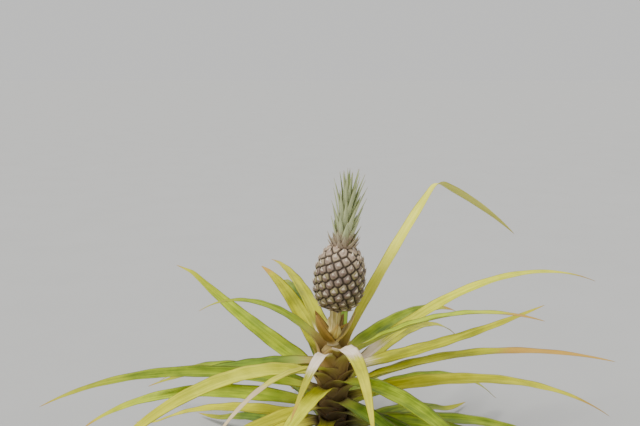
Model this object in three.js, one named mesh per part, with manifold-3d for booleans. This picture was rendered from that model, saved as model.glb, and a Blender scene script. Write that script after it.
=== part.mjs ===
// A fruiting pineapple plant, rooted in the ground: a short stem, a rosette of long channelled leaves,
// old dry leaves hanging under them, a flower stalk with bracts, one fruit and its crown.
// Millimetres, +Z up. The origin is the centre of the flat cut under the stem, at ground level.
// The plant's front faces -Y, and +X is on the right as it is seen from the front.

import * as THREE from "three";
import { mergeVertices } from "three/addons/utils/BufferGeometryUtils.js";
import Module from "manifold-3d";

const wasm = await Module();
wasm.setup();

const CLEARANCE = 0.3; // between pieces that touch

// Stem: club-shaped, widest under its top, with a slight flare where it meets the ground
const STEM_HEIGHT = 362;
const STEM_SIDES = 16;
const STEM_PROFILE = [
  [34, 0],
  [29, 16],
  [26, 50],
  [27, 130],
  [30, 250],
  [31, 322],
  [30, 338],
  [26, 349],
  [19, 357],
  [14, STEM_HEIGHT],
]; // radius and height

// Leaves sit on the stem in one spiral, the oldest lowest
const LEAF_COUNT = 53;
const DRY_LEAF_COUNT = 7; // the oldest of them
const GOLDEN_ANGLE = 137.508;
const FIRST_AZIMUTH = 335;
const LOWEST_LEAF = 62;
const HIGHEST_LEAF = 348;
const LEAF_START_RADIUS = 16; // inside the stem, which cuts the leaf's foot
const LEAF_STEPS = 48; // steps in which a leaf's line is worked out
const LEAF_SEGMENTS = 12; // segments of a leaf's solid
const LEAF_WIDTH = 46;
const DRY_LEAF_WIDTH = 32;
const LEAF_TURN = 22; // degrees that a leaf turns about its own line, to show its top to the front
const LEAF_THICKNESS = 0.0125; // share of a leaf's length, at its foot
const LEAF_THINNING = 0.4; // share of the thickness that is lost towards the tip
const FOLD_SPAN = 0.03; // share of a leaf's length on either side of a fold, in which it bends
const SHARP_FOLD = 45; // degrees over which a folded leaf is two pieces
const GROUND_CLEARANCE = 7; // of a leaf's line, where the leaf lies on the ground
const LANDING_EASE = 80; // the larger, the more gently a leaf comes down on the ground

// The flower stalk bends to the lean of the fruit
const LEAN = THREE.MathUtils.degToRad(6);
const STALK_BEND_HEIGHT = 378;
const STALK_UPPER_LENGTH = 72;
const STALK_RADIUS = 12;
const STALK_SIDES = 10;
const BRACT_COUNT = 8;
const FIRST_BRACT_AZIMUTH = 228;

// Fruit: eyes on a spiral, each a low point between grooves
const FRUIT_HEIGHT = 148;
const FRUIT_RADIUS = 57;
const FRUIT_WIDEST = 0.44; // share of the height
const FRUIT_SIDES = 20; // of the body that the eyes stand on
const EYE_COUNT = 132;
const EYE_PEAK = 3.2;
const EYE_GROOVE = 1.8;

// Crown of small leaves on the fruit
const CROWN_CORE_HEIGHT = 92;
const CROWN_CORE_RADIUS = 20;
const CROWN_LEAF_COUNT = 46;
const CROWN_LEAF_WIDTH = 17;

const { lerp, degToRad, smoothstep, clamp } = THREE.MathUtils;

// A number from 0 to 1 that is always the same for a leaf and a purpose
function unit(index, purpose) {
  const value = Math.sin(index * 12.9898 + purpose * 78.233) * 43758.5453;
  return value - Math.floor(value);
}

function signed(index, purpose) {
  return 2 * unit(index, purpose) - 1;
}

// The leaves that stand out from the front keep their own set, in degrees and millimetres
const SHOWN_LEAVES = {
  30: { azimuth: 139, rise: 3, droop: 40, sweep: 2, length: 680 },
  31: { azimuth: -64 },
  34: { azimuth: -35, rise: 31, droop: 33, sweep: 4, length: 665 },
  36: { azimuth: -104, rise: 15, droop: 45, sweep: -15, length: 500 },
  37: { azimuth: 22, rise: 36, droop: 60, sweep: -3, length: 800, turn: 12, width: 40 },
  38: { azimuth: 150, rise: 24, droop: -17, sweep: 10, length: 490, turn: -34, fold: 22, foldAt: 0.9 },
  40: { azimuth: 84, rise: 33, droop: 48, sweep: 2, length: 640 },
  41: { azimuth: -128, rise: 23, droop: 49, sweep: -2, length: 659 },
  42: { azimuth: -12, rise: 19, droop: -10, sweep: 2, length: 500, turn: 20 },
  43: { azimuth: 116, rise: 32, droop: 31, sweep: 1, length: 450 },
  44: { azimuth: -120, rise: 22, droop: 60, sweep: -6, length: 480, width: 32 },
  45: { azimuth: 46, rise: 18, droop: 44, sweep: 4, length: 520 },
  46: { azimuth: 172, rise: -3, droop: 20, sweep: 2, length: 450, turn: -12 },
  48: { azimuth: 111, rise: 33, droop: 40, sweep: 5, length: 463 },
  49: { azimuth: -96, rise: 27, droop: 60, sweep: -14, length: 430, turn: 0, width: 32 },
  50: {
    azimuth: 34.5, rise: 56, droop: 23, sweep: 3, length: 832, turn: 8, twist: -60, width: 36,
    fold: 70, foldAt: 7 / 12,
  },
  51: { azimuth: 170, rise: 46, droop: 80, sweep: 10, length: 350, width: 34 },
  52: { azimuth: -83, rise: 24, droop: 44, sweep: -6, length: 620, width: 38 },
};

// How leaf number index grows: rise is its angle above level at the stem, droop the angle that it loses
// towards its tip, sweep how far it bends sideways, turn how far it is turned about its own line near the
// stem, twist how far it turns on from there to its tip, and fold a sharp bend at foldAt of its length
function leafHabit(index) {
  const place = FIRST_AZIMUTH + index * GOLDEN_ANGLE;
  const habit = {
    place,
    azimuth: place + 4 * signed(index, 1),
    height: lerp(LOWEST_LEAF, HIGHEST_LEAF, index / (LEAF_COUNT - 1)),
    sweep: 8 * signed(index, 5),
    twist: 0,
    fold: 0,
    foldAt: 0.6,
  };
  const away = Math.sin(degToRad(habit.azimuth)); // 1 at the back, -1 at the front
  habit.turn = LEAF_TURN * Math.cos(degToRad(habit.azimuth)) + 10 * signed(index, 6);
  if (index < DRY_LEAF_COUNT) {
    habit.rise = lerp(-42, -26, index / DRY_LEAF_COUNT) + 5 * signed(index, 2);
    habit.droop = 28 + 12 * signed(index, 4);
    habit.length = lerp(290, 400, unit(index, 3));
    habit.width = DRY_LEAF_WIDTH;
  } else {
    const youth = (index - DRY_LEAF_COUNT) / (LEAF_COUNT - 1 - DRY_LEAF_COUNT);
    const front = Math.max(0, -away) ** 1.5;
    habit.rise = lerp(-4, 64, youth ** 1.9) * (1 - 0.5 * front) + 2 * signed(index, 2);
    habit.droop = lerp(24, 50, Math.sin(Math.PI * youth)) + 7 * signed(index, 4);
    const grown = Math.sin(Math.PI * (0.08 + 0.82 * youth));
    habit.length = lerp(500, 700, grown) * (1 + 0.07 * signed(index, 3));
    habit.width = LEAF_WIDTH;
  }
  return Object.assign(habit, SHOWN_LEAVES[index]);
}

// A leaf's middle line, walked in short steps from inside the stem to its tip
function leafLine(habit) {
  const place = degToRad(habit.place);
  const point = new THREE.Vector3(
    LEAF_START_RADIUS * Math.cos(place),
    LEAF_START_RADIUS * Math.sin(place),
    habit.height,
  );
  const stations = [{ point: point.clone() }];
  const step = habit.length / LEAF_STEPS;
  for (let k = 0; k < LEAF_STEPS; k++) {
    const along = (k + 0.5) / LEAF_STEPS;
    const bent = habit.fold * smoothstep(along, habit.foldAt - FOLD_SPAN, habit.foldAt + FOLD_SPAN);
    const azimuth = degToRad(habit.azimuth + habit.sweep * along ** 2);
    const landing = (GROUND_CLEARANCE - point.z) / LANDING_EASE;
    const rise = Math.max(landing, degToRad(habit.rise - habit.droop * along ** 1.6 - bent));
    const ahead = new THREE.Vector3(
      Math.cos(rise) * Math.cos(azimuth),
      Math.cos(rise) * Math.sin(azimuth),
      Math.sin(rise),
    );
    point.addScaledVector(ahead, step);
    Object.assign(stations[k], { ahead, azimuth });
    stations.push({ point: point.clone(), ahead, azimuth });
  }
  return stations;
}

// Half of a leaf's width along it: narrow where it leaves the stem, widest at a quarter, then a long taper
function leafHalfWidth(habit, along) {
  const foot = lerp(0.58, 1, smoothstep(along, 0, 0.2));
  return (habit.width / 2) * foot * Math.max(0, 1 - along ** 2) ** 0.8;
}

// A closed solid through rings of points, with flat ends or, where tip is given, drawn to that point
function loft(rings, tip) {
  const sides = rings[0].length;
  const points = rings.flat();
  const faces = [];
  for (let r = 0; r < rings.length - 1; r++)
    for (let s = 0; s < sides; s++) {
      const [a, b] = [r * sides + s, r * sides + ((s + 1) % sides)];
      faces.push(a, b, b + sides, a, b + sides, a + sides);
    }
  for (let s = 1; s < sides - 1; s++) faces.push(0, s + 1, s);
  const last = (rings.length - 1) * sides;
  if (tip) {
    points.push(tip);
    for (let s = 0; s < sides; s++) faces.push(last + s, last + ((s + 1) % sides), points.length - 1);
  } else {
    for (let s = 1; s < sides - 1; s++) faces.push(last, last + s, last + s + 1);
  }
  return new THREE.BufferGeometry().setFromPoints(points).setIndex(faces);
}

// A blade's section: its groove on top, its left edge, the keel underneath and its right edge
function bladeRing({ point, ahead, azimuth, turn = 0, half, channel, thickness }) {
  const left = new THREE.Vector3(-Math.sin(azimuth), Math.cos(azimuth), 0).applyAxisAngle(ahead, turn);
  const up = new THREE.Vector3().crossVectors(ahead, left);
  const at = (side, height) => point.clone().addScaledVector(left, side).addScaledVector(up, height);
  return [at(0, 0), at(half, channel), at(0, -thickness), at(-half, channel)].reverse();
}

// The leaf from segment first to segment last, which is its tip where no last is given
function leafGeometry(habit, first = 0, last = LEAF_SEGMENTS) {
  const line = leafLine(habit);
  const rings = [];
  for (let k = first; k <= Math.min(last, LEAF_SEGMENTS - 1); k++) {
    const along = k / LEAF_SEGMENTS;
    const half = leafHalfWidth(habit, along);
    const station = line[k * (LEAF_STEPS / LEAF_SEGMENTS)];
    const thickness = LEAF_THICKNESS * habit.length * (1 - LEAF_THINNING * along);
    const turned = habit.turn * smoothstep(along, 0, 0.3);
    const turn = degToRad(turned + habit.twist * smoothstep(along, 0.4, 0.8));
    rings.push(bladeRing({ ...station, turn, half, channel: 0.28 * half, thickness }));
  }
  return loft(rings, last === LEAF_SEGMENTS ? line.at(-1).point : undefined);
}

// A small stiff blade: a bract on the stalk or a leaf of the crown, given in its own short steps
function smallBladeGeometry({ start, azimuth, rise, droop, length, width, thickness }) {
  const segments = 4;
  const turn = degToRad(azimuth);
  const point = start.clone();
  const rings = [];
  for (let k = 0; k < segments; k++) {
    const angle = degToRad(rise - droop * (k / segments));
    const ahead = new THREE.Vector3(
      Math.cos(angle) * Math.cos(turn),
      Math.cos(angle) * Math.sin(turn),
      Math.sin(angle),
    );
    const half = (width / 2) * (1 - (k / segments) ** 1.7);
    const here = { point: point.clone(), ahead, azimuth: turn };
    rings.push(bladeRing({ ...here, half, channel: 0.3 * half, thickness }));
    point.addScaledVector(ahead, length / segments);
  }
  return loft(rings, point);
}

function lathe(profile, sides) {
  const outline = profile.map(([radius, height]) => new THREE.Vector2(radius, height));
  outline.unshift(new THREE.Vector2(0, outline[0].y));
  outline.push(new THREE.Vector2(0, outline.at(-1).y));
  return new THREE.LatheGeometry(outline, sides).rotateX(Math.PI / 2);
}

function solidOf(geometry) {
  const bare = new THREE.BufferGeometry()
    .setAttribute("position", geometry.getAttribute("position"))
    .setIndex(geometry.index);
  const merged = mergeVertices(bare, 1e-4);
  const all = merged.index.array;
  const faces = [];
  for (let k = 0; k < all.length; k += 3)
    if (all[k] !== all[k + 1] && all[k + 1] !== all[k + 2] && all[k] !== all[k + 2])
      faces.push(all[k], all[k + 1], all[k + 2]);
  return new wasm.Manifold(
    new wasm.Mesh({
      numProp: 3,
      vertProperties: merged.attributes.position.array,
      triVerts: new Uint32Array(faces),
    }),
  );
}

function geometryOf(solid) {
  const mesh = solid.getMesh();
  return new THREE.BufferGeometry()
    .setAttribute("position", new THREE.BufferAttribute(mesh.vertProperties, 3))
    .setIndex(new THREE.BufferAttribute(mesh.triVerts, 1));
}

// Only the largest piece of a solid that a cut has parted
function largestPiece(solid) {
  return solid.decompose().reduce((a, b) => (a.volume() > b.volume() ? a : b));
}

// Stem

function stemGeometry(margin = 0) {
  const profile = STEM_PROFILE.map(([radius, height], k) => {
    const grown = k === STEM_PROFILE.length - 1 ? height + margin : height;
    return [radius + margin / Math.cos(Math.PI / STEM_SIDES), grown];
  });
  return lathe(profile, STEM_SIDES);
}

// Stalk and bracts

const stalkFoot = new THREE.Vector3(0, 0, STEM_HEIGHT + CLEARANCE);
const stalkBend = new THREE.Vector3(0, 0, STALK_BEND_HEIGHT);
const leanAhead = new THREE.Vector3(Math.sin(LEAN), 0, Math.cos(LEAN));
const stalkTop = stalkBend.clone().addScaledVector(leanAhead, STALK_UPPER_LENGTH);
const stalkCurve = new THREE.QuadraticBezierCurve3(stalkFoot, stalkBend, stalkTop);

function stalkGeometry() {
  const rings = [];
  const segments = 5;
  for (let k = 0; k <= segments; k++) {
    const share = k / segments;
    const point = stalkCurve.getPoint(share);
    const ahead = stalkCurve.getTangent(share);
    const back = new THREE.Vector3(0, 1, 0);
    const side = new THREE.Vector3().crossVectors(back, ahead);
    const radius = STALK_RADIUS * (1 + 0.18 * (2 * share - 1) ** 2);
    rings.push(
      Array.from({ length: STALK_SIDES }, (_, s) => {
        const turn = (2 * Math.PI * s) / STALK_SIDES;
        return point
          .clone()
          .addScaledVector(side, radius * Math.cos(turn))
          .addScaledVector(back, radius * Math.sin(turn));
      }),
    );
  }
  let stalk = solidOf(loft(rings));
  for (let n = 0; n < BRACT_COUNT; n++) {
    const up = n / (BRACT_COUNT - 1);
    const share = lerp(0.04, 0.62, up);
    const azimuth = FIRST_BRACT_AZIMUTH + n * GOLDEN_ANGLE;
    const turn = degToRad(azimuth);
    const inside = new THREE.Vector3(Math.cos(turn), Math.sin(turn), 0).multiplyScalar(STALK_RADIUS * 0.6);
    const bract = smallBladeGeometry({
      start: stalkCurve.getPoint(share).add(inside),
      azimuth,
      rise: lerp(46, 40, up),
      droop: lerp(-44, 0, up) + 5 * signed(n, 11),
      length: lerp(98, 26, up),
      width: lerp(46, 18, up),
      thickness: 2.4,
    });
    stalk = stalk.add(solidOf(bract));
  }
  return stalk;
}

// Fruit

function fruitRadius(share) {
  const reach = share < FRUIT_WIDEST ? 0.48 : 0.62;
  const off = Math.abs(share - FRUIT_WIDEST) / reach;
  return FRUIT_RADIUS * Math.max(0, 1 - off ** 2.5) ** 0.5;
}

// Share of the height at which the fruit's skin below has that share of its whole area
function shareAtArea(area) {
  const slices = 240;
  const edges = [0];
  for (let k = 0; k < slices; k++) {
    const [low, high] = [fruitRadius(k / slices), fruitRadius((k + 1) / slices)];
    edges.push(edges[k] + ((low + high) / 2) * Math.hypot(high - low, FRUIT_HEIGHT / slices));
  }
  const wanted = clamp(area, 0, 1) * edges[slices];
  const k = Math.min(slices - 1, Math.max(0, edges.findIndex((edge) => edge >= wanted) - 1));
  return (k + (wanted - edges[k]) / (edges[k + 1] - edges[k])) / slices;
}

// The skin point at a place of the eyes' spiral, whole numbers being the middles of the eyes
function skinPoint(place, turn, lift) {
  const share = shareAtArea((place + 0.5) / EYE_COUNT);
  const radius = fruitRadius(share);
  const slope = (fruitRadius(Math.min(1, share + 0.01)) - fruitRadius(Math.max(0, share - 0.01))) / 0.02;
  const normal = new THREE.Vector2(FRUIT_HEIGHT, -slope).normalize();
  const angle = degToRad(turn);
  const out = radius + lift * normal.x;
  const height = share * FRUIT_HEIGHT + lift * normal.y;
  return new THREE.Vector3(out * Math.cos(angle), out * Math.sin(angle), height);
}

// Each eye touches the eyes 8 and 13 places on, so the skin is made of the four-sided gaps between them
function fruitGeometry() {
  const [near, far] = [8, 13];
  const nearTurn = near * GOLDEN_ANGLE - 3 * 360;
  const farTurn = far * GOLDEN_ANGLE - 5 * 360;
  const points = [];
  const numbers = new Map();
  const vertex = (n, nearSteps, farSteps) => {
    const place = n + near * nearSteps + far * farSteps;
    const key = `${place} ${nearSteps % 1} ${farSteps % 1}`;
    if (!numbers.has(key)) {
      const whole = nearSteps % 1 === 0 && farSteps % 1 === 0;
      const turn = n * GOLDEN_ANGLE + nearTurn * nearSteps + farTurn * farSteps;
      numbers.set(key, points.length);
      points.push(skinPoint(place, turn, whole ? EYE_PEAK : -EYE_GROOVE));
    }
    return numbers.get(key);
  };
  const faces = [];
  for (let n = 0; n < EYE_COUNT - near - far; n++) {
    const around = [
      [0, 0],
      [0.5, 0],
      [1, 0],
      [1, 0.5],
      [1, 1],
      [0.5, 1],
      [0, 1],
      [0, 0.5],
    ].map(([a, b]) => vertex(n, a, b));
    const middle = vertex(n, 0.5, 0.5);
    around.forEach((v, k) => faces.push(v, around[(k + 1) % around.length], middle));
  }
  closeEnds(points, faces);
  return new THREE.BufferGeometry().setFromPoints(points).setIndex(faces);
}

// Fans from two points on the axis, inside the fruit, close the open ends of the skin
function closeEnds(points, faces) {
  const edges = new Set();
  for (let k = 0; k < faces.length; k += 3)
    for (let e = 0; e < 3; e++) edges.add(`${faces[k + e]} ${faces[k + ((e + 1) % 3)]}`);
  const bottom = points.length;
  points.push(new THREE.Vector3(0, 0, FRUIT_HEIGHT * 0.25), new THREE.Vector3(0, 0, FRUIT_HEIGHT * 0.75));
  for (const edge of edges) {
    const [a, b] = edge.split(" ").map(Number);
    if (edges.has(`${b} ${a}`)) continue;
    faces.push(b, a, points[a].z < FRUIT_HEIGHT / 2 ? bottom : bottom + 1);
  }
}

// The body under the eyes, which ends in a flat disc below and above
function fruitBody() {
  const levels = [0, 0.04, 0.12, 0.26, 0.44, 0.62, 0.78, 0.9, 0.97, 1];
  return lathe(
    levels.map((share) => [fruitRadius(share) - EYE_GROOVE, share * FRUIT_HEIGHT]),
    FRUIT_SIDES,
  );
}

// Crown

function crownSolid() {
  const profile = [
    [CROWN_CORE_RADIUS, 0],
    [CROWN_CORE_RADIUS * 0.9, CROWN_CORE_HEIGHT * 0.35],
    [CROWN_CORE_RADIUS * 0.55, CROWN_CORE_HEIGHT * 0.8],
    [CROWN_CORE_RADIUS * 0.25, CROWN_CORE_HEIGHT],
  ];
  let crown = solidOf(lathe(profile, 10));
  for (let n = 0; n < CROWN_LEAF_COUNT; n++) {
    const youth = n / (CROWN_LEAF_COUNT - 1);
    const height = lerp(6, CROWN_CORE_HEIGHT - 10, youth);
    const azimuth = n * GOLDEN_ANGLE;
    const turn = degToRad(azimuth);
    const inside = lerp(CROWN_CORE_RADIUS, 4, youth) * 0.6;
    const leaf = smallBladeGeometry({
      start: new THREE.Vector3(inside * Math.cos(turn), inside * Math.sin(turn), height),
      azimuth,
      rise: lerp(66, 86, youth ** 0.6) + 3 * signed(n, 21),
      droop: lerp(-4, 12, Math.sin(Math.PI * youth)) + 4 * signed(n, 22),
      length: lerp(46, 116, Math.sin(Math.PI * lerp(0.04, 0.72, youth))) * (1 + 0.08 * signed(n, 23)),
      width: CROWN_LEAF_WIDTH * lerp(1.05, 0.7, youth),
      thickness: 1.9,
    });
    crown = crown.add(solidOf(leaf));
  }
  return crown;
}

// Colours as the plant shows them in daylight

const materials = {
  stem: new THREE.MeshStandardMaterial({ color: 0x7a6248, roughness: 0.9, metalness: 0 }),
  leaf: new THREE.MeshStandardMaterial({ color: 0x9aa648, roughness: 0.55, metalness: 0 }),
  dry_leaf: new THREE.MeshStandardMaterial({ color: 0xb59a6c, roughness: 0.85, metalness: 0 }),
  stalk: new THREE.MeshStandardMaterial({ color: 0xc2a765, roughness: 0.7, metalness: 0 }),
  fruit: new THREE.MeshStandardMaterial({ color: 0x6f6152, roughness: 0.7, metalness: 0 }),
  crown: new THREE.MeshStandardMaterial({ color: 0x8f9880, roughness: 0.6, metalness: 0 }),
};

const plant = new THREE.Group();

function addPiece(name, geometry, material, parent = plant) {
  const mesh = new THREE.Mesh(geometry, material);
  mesh.name = name;
  parent.add(mesh);
  return mesh;
}

addPiece("stem", geometryOf(solidOf(stemGeometry())), materials.stem);

const roomForStem = solidOf(stemGeometry(CLEARANCE));
for (let index = 0; index < LEAF_COUNT; index++) {
  const dry = index < DRY_LEAF_COUNT;
  const name = `${dry ? "dry_leaf" : "leaf"}_${String(index + 1).padStart(2, "0")}`;
  const material = dry ? materials.dry_leaf : materials.leaf;
  const habit = leafHabit(index);
  const bend = habit.fold > SHARP_FOLD ? Math.round(habit.foldAt * LEAF_SEGMENTS) : LEAF_SEGMENTS;
  const blade = solidOf(leafGeometry(habit, 0, bend)).subtract(roomForStem);
  addPiece(name, geometryOf(largestPiece(blade)), material);
  if (bend < LEAF_SEGMENTS) {
    const { ahead } = leafLine(habit)[bend * (LEAF_STEPS / LEAF_SEGMENTS)];
    const end = addPiece(`${name}_end`, leafGeometry(habit, bend), material);
    end.position.copy(ahead).multiplyScalar(CLEARANCE);
  }
}

addPiece("stalk", geometryOf(stalkGeometry()), materials.stalk);

// The fruit and its crown stand on the stalk's end, along its lean
const head = new THREE.Group();
head.position.copy(stalkTop);
head.rotation.y = LEAN;
plant.add(head);

const fruit = solidOf(fruitGeometry()).add(solidOf(fruitBody()));
addPiece("fruit", geometryOf(fruit), materials.fruit, head).position.z = CLEARANCE;
addPiece("crown", geometryOf(crownSolid()), materials.crown, head).position.z = FRUIT_HEIGHT + 2 * CLEARANCE;

export default plant;
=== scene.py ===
# Looks of a fruiting pineapple plant, in metres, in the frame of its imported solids:
# +Z up, the origin at ground level under the stem, the plant's front towards -Y.
import math
import bpy
import numpy as np
from mathutils import Matrix, Vector


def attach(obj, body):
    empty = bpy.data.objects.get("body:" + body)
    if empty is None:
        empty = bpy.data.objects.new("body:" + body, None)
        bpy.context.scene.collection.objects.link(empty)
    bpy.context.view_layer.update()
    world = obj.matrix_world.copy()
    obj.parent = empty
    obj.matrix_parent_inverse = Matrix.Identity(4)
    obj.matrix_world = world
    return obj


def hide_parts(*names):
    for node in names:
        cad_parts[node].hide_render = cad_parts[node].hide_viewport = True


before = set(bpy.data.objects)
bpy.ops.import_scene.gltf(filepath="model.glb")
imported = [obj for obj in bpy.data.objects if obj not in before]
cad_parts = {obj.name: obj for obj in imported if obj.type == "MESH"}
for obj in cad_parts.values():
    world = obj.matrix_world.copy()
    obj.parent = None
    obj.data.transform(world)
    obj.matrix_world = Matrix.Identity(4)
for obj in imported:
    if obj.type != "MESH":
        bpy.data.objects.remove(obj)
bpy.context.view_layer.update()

# Sizes of the solids, repeated from their source
STEM_HEIGHT = 0.362
STEM_PROFILE = [(0.034, 0), (0.029, 0.016), (0.026, 0.05), (0.027, 0.13), (0.030, 0.25),
                (0.031, 0.322), (0.030, 0.338), (0.026, 0.349), (0.019, 0.357), (0.014, STEM_HEIGHT)]
LEAF_COUNT = 53
DRY_LEAF_COUNT = 7         # the oldest of them
GOLDEN_ANGLE = 137.508
FIRST_AZIMUTH = 335
LOWEST_LEAF = 0.062
HIGHEST_LEAF = 0.348
LEAF_START_RADIUS = 0.016  # inside the stem
LEAF_WIDTH = 0.046
DRY_LEAF_WIDTH = 0.032
LEAF_TURN = 22             # degrees that a leaf turns about its own line, to show its top to the front
FOLD_SPAN = 0.03           # share of a leaf's length on either side of a fold, in which it bends
GROUND_CLEARANCE = 0.007   # of a leaf's line, where the leaf lies on the ground
LANDING_EASE = 0.080       # the larger, the more gently a leaf comes down on the ground
LEAN = math.radians(6)     # of the fruit
STALK_BEND_HEIGHT = 0.378
STALK_UPPER_LENGTH = 0.072
STALK_RADIUS = 0.012
BRACT_COUNT = 8
FIRST_BRACT_AZIMUTH = 228
FRUIT_HEIGHT = 0.148
FRUIT_RADIUS = 0.057
FRUIT_WIDEST = 0.44        # share of the height
FRUIT_REACH_DOWN = 0.48    # share of the height from the widest level to where the outline would close
FRUIT_REACH_UP = 0.62
EYE_COUNT = 132
EYE_GROOVE = 0.0018
CROWN_CORE_HEIGHT = 0.092
CROWN_CORE_RADIUS = 0.020
CROWN_LEAF_COUNT = 46
CROWN_LEAF_WIDTH = 0.017
CLEARANCE = 0.0003         # between pieces that touch


def lerp(a, b, t):
    return a + (b - a) * t


def smooth(t, low=0.0, high=1.0):
    t = min(1.0, max(0.0, (t - low) / (high - low)))
    return t * t * (3 - 2 * t)


def unit(index, purpose):
    """A number from 0 to 1 that is always the same for a leaf and a purpose."""
    value = math.sin(index * 12.9898 + purpose * 78.233) * 43758.5453
    return value - math.floor(value)


def signed(index, purpose):
    """The same number, stretched to run from -1 to 1."""
    return 2 * unit(index, purpose) - 1


def direction(azimuth, rise):
    return Vector((math.cos(rise) * math.cos(azimuth), math.cos(rise) * math.sin(azimuth), math.sin(rise)))


def around(turn, radius, height=0.0):
    """The point at this angle, distance and height from the Z axis."""
    return Vector((radius * math.cos(turn), radius * math.sin(turn), height))


def turns_round(sides):
    return [2 * math.pi * s / sides for s in range(sides)]


# Meshes

class Shape:
    """Points, faces and the values that the materials read at each point.

    On a blade, along runs from 0 at the foot to 1 at the tip, and across from -1 to 1. under is 1 on
    its lower side, metres is the distance from its foot, dry the dry share of its tip, age 1 for the
    oldest leaf, and pale how far from its foot it is bleached. seed differs from blade to blade.
    """

    VALUES = ("along", "across", "under", "metres", "seed", "dry", "age", "pale")

    def __init__(self):
        self.points = []
        self.faces = []
        self.values = {name: [] for name in self.VALUES}

    def point(self, place, **values):
        self.points.append(tuple(place))
        for name in self.VALUES:
            self.values[name].append(values.get(name, 0.0))
        return len(self.points) - 1

    def make(self, name, material):
        mesh = bpy.data.meshes.new(name)
        mesh.from_pydata(self.points, [], self.faces)
        for value_name, numbers in self.values.items():
            mesh.attributes.new(value_name, "FLOAT", "POINT").data.foreach_set("value", numbers)
        mesh.shade_smooth()
        mesh.materials.append(material)
        piece = bpy.data.objects.new(name, mesh)
        bpy.context.scene.collection.objects.link(piece)
        return piece


def add_tube(shape, rings, **values):
    """Joins rings of (point, values) by quads and closes both ends. The last ring may be one point."""
    numbers = [[shape.point(p, **{**values, **v}) for p, v in ring] for ring in rings]
    for low, high in zip(numbers, numbers[1:]):
        sides = len(low)
        for s in range(sides):
            t = (s + 1) % sides
            if len(high) == 1:
                shape.faces.append((low[s], low[t], high[0]))
            else:
                shape.faces.append((low[s], low[t], high[t], high[s]))
    shape.faces.append(tuple(reversed(numbers[0])))
    if len(numbers[-1]) > 1:
        shape.faces.append(tuple(numbers[-1]))


def blade_section(spans, sharp=True):
    """A ring round a blade's section, from (middle, normal, half thickness, values) across it.
    Where the edges are sharp, the two sides meet there in one point."""
    top, bottom = [], []
    for s, (middle, normal, half_thick, values) in enumerate(spans):
        if sharp and s in (0, len(spans) - 1):
            top.append((middle, {**values, "under": 0.5}))
        else:
            top.append((middle + normal * half_thick, {**values, "under": 0.0}))
            bottom.append((middle - normal * half_thick, {**values, "under": 1.0}))
    return top + bottom[::-1]


# Leaves, numbered from 0 at the lowest

BLADE_STEPS = 96           # along a leaf
BLADE_POINTS = 9           # across one side of a leaf
BLADE_THICKNESS = 0.0024
THICKNESS_SHARES = 1.5, 0.45      # at the foot and at the tip
CHANNEL_DEPTHS = 0.50, 0.24       # shares of half the width, at the foot and near the tip
EDGE_WAVE = 0.05                  # share of half the width
TIP_TWIST = 12             # degrees at most that a leaf twists towards its tip
DRY_TIP_TWIST = 40
SHEATH_REACH = 0.078       # from the stem's axis, to where a leaf's clasping base has become its blade
SHEATH_ARC = math.radians(92)
SHEATH_GAP = 0.0012        # between the stem and the base's middle
SHEATH_DROP = 0.030        # how far the base reaches down the stem from where the leaf leaves it
SHEATH_RISE = 0.046
SHEATH_EDGE_RISE = 0.006   # how much higher the base's edges stand than its middle
SHEATH_FLARE = 0.22        # how fast a base spreads from the stem, so that older ones lie outside

# The growth rule of the solids' leaves, in degrees and metres
DRY_LEAF_RISES = -42, -26         # of the lowest and the highest
DRY_LEAF_LENGTHS = 0.290, 0.400   # of the shortest and the longest
LEAF_RISES = -4, 64
LEAF_DROOPS = 24, 50              # the least and the most
LEAF_LENGTHS = 0.500, 0.700

# The leaves that stand out from the front keep their own set, in degrees and metres
SHOWN_LEAVES = {
    30: dict(azimuth=139, rise=3, droop=40, sweep=2, length=0.680),
    31: dict(azimuth=-64),
    34: dict(azimuth=-35, rise=31, droop=33, sweep=4, length=0.665),
    36: dict(azimuth=-104, rise=15, droop=45, sweep=-15, length=0.500),
    37: dict(azimuth=22, rise=36, droop=60, sweep=-3, length=0.800, turn=12, width=0.040),
    38: dict(azimuth=150, rise=24, droop=-17, sweep=10, length=0.490, turn=-34, fold=22, fold_at=0.9),
    40: dict(azimuth=84, rise=33, droop=48, sweep=2, length=0.640),
    41: dict(azimuth=-128, rise=23, droop=49, sweep=-2, length=0.659),
    42: dict(azimuth=-12, rise=19, droop=-10, sweep=2, length=0.500, turn=20),
    43: dict(azimuth=116, rise=32, droop=31, sweep=1, length=0.450),
    44: dict(azimuth=-120, rise=22, droop=60, sweep=-6, length=0.480, width=0.032),
    45: dict(azimuth=46, rise=18, droop=44, sweep=4, length=0.520),
    46: dict(azimuth=172, rise=-3, droop=20, sweep=2, length=0.450, turn=-12),
    48: dict(azimuth=111, rise=33, droop=40, sweep=5, length=0.463),
    49: dict(azimuth=-96, rise=27, droop=60, sweep=-14, length=0.430, turn=0, width=0.032),
    50: dict(azimuth=34.5, rise=56, droop=23, sweep=3, length=0.832, turn=8, twist=-60, width=0.036,
             fold=70, fold_at=7 / 12),
    51: dict(azimuth=170, rise=46, droop=80, sweep=10, length=0.350, width=0.034),
    52: dict(azimuth=-83, rise=24, droop=44, sweep=-6, length=0.620, width=0.038),
}

# How far from its foot a leaf is bleached: where it shows, and at most for the others
PALE_FEET = {37: 0.17, 49: 0.31, 52: 0.34}
PALE_FOOT = 0.13


def is_dry(index):
    return index < DRY_LEAF_COUNT


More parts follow.
